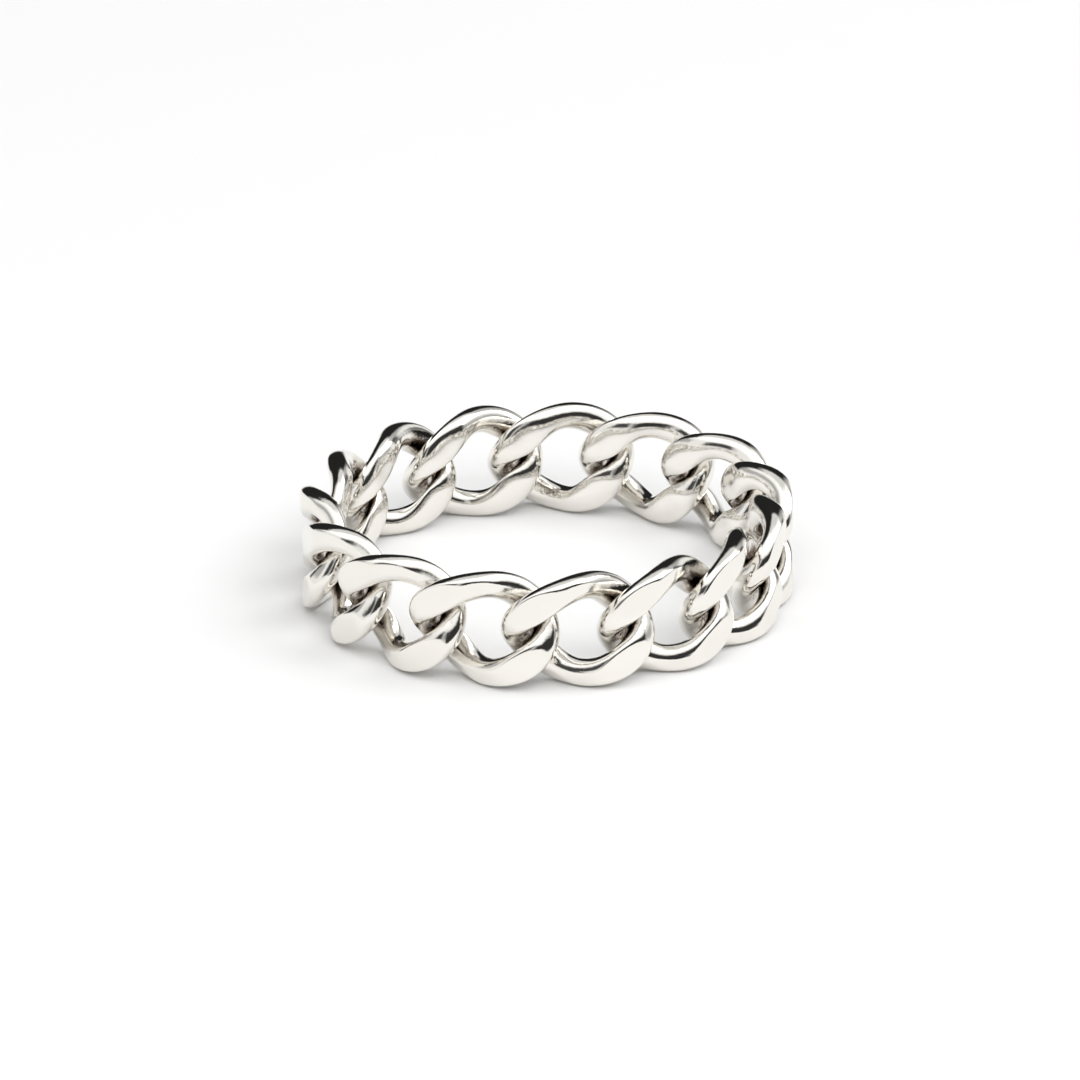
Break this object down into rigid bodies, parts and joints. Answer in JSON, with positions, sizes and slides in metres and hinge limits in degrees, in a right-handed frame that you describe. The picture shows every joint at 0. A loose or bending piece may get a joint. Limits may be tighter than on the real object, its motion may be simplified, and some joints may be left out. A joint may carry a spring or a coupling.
{
  "type": "chain link ring",
  "caption": "Finger ring made of twisted oval curb links of polished silver wire, each hooked through the next in a closed band.",
  "frame": {"origin": "on the ring's axis, in the plane that the links rest on when the ring lies on its side", "axes": "+Z along the finger hole, up out of the surface; -Y towards the viewer of the picture; X across"},
  "size_m": [0.0211, 0.0212, 0.005],
  "materials": {
    "silver": "high polish sterling silver"
  },
  "bodies": {
    "root": {"link_01": "silver", "link_02": "silver", "link_03": "silver", "link_04": "silver", "link_05": "silver", "link_06": "silver", "link_07": "silver", "link_08": "silver", "link_09": "silver", "link_10": "silver", "link_11": "silver", "link_12": "silver", "link_13": "silver", "link_14": "silver", "link_15": "silver"}
  },
  "joints": []
}
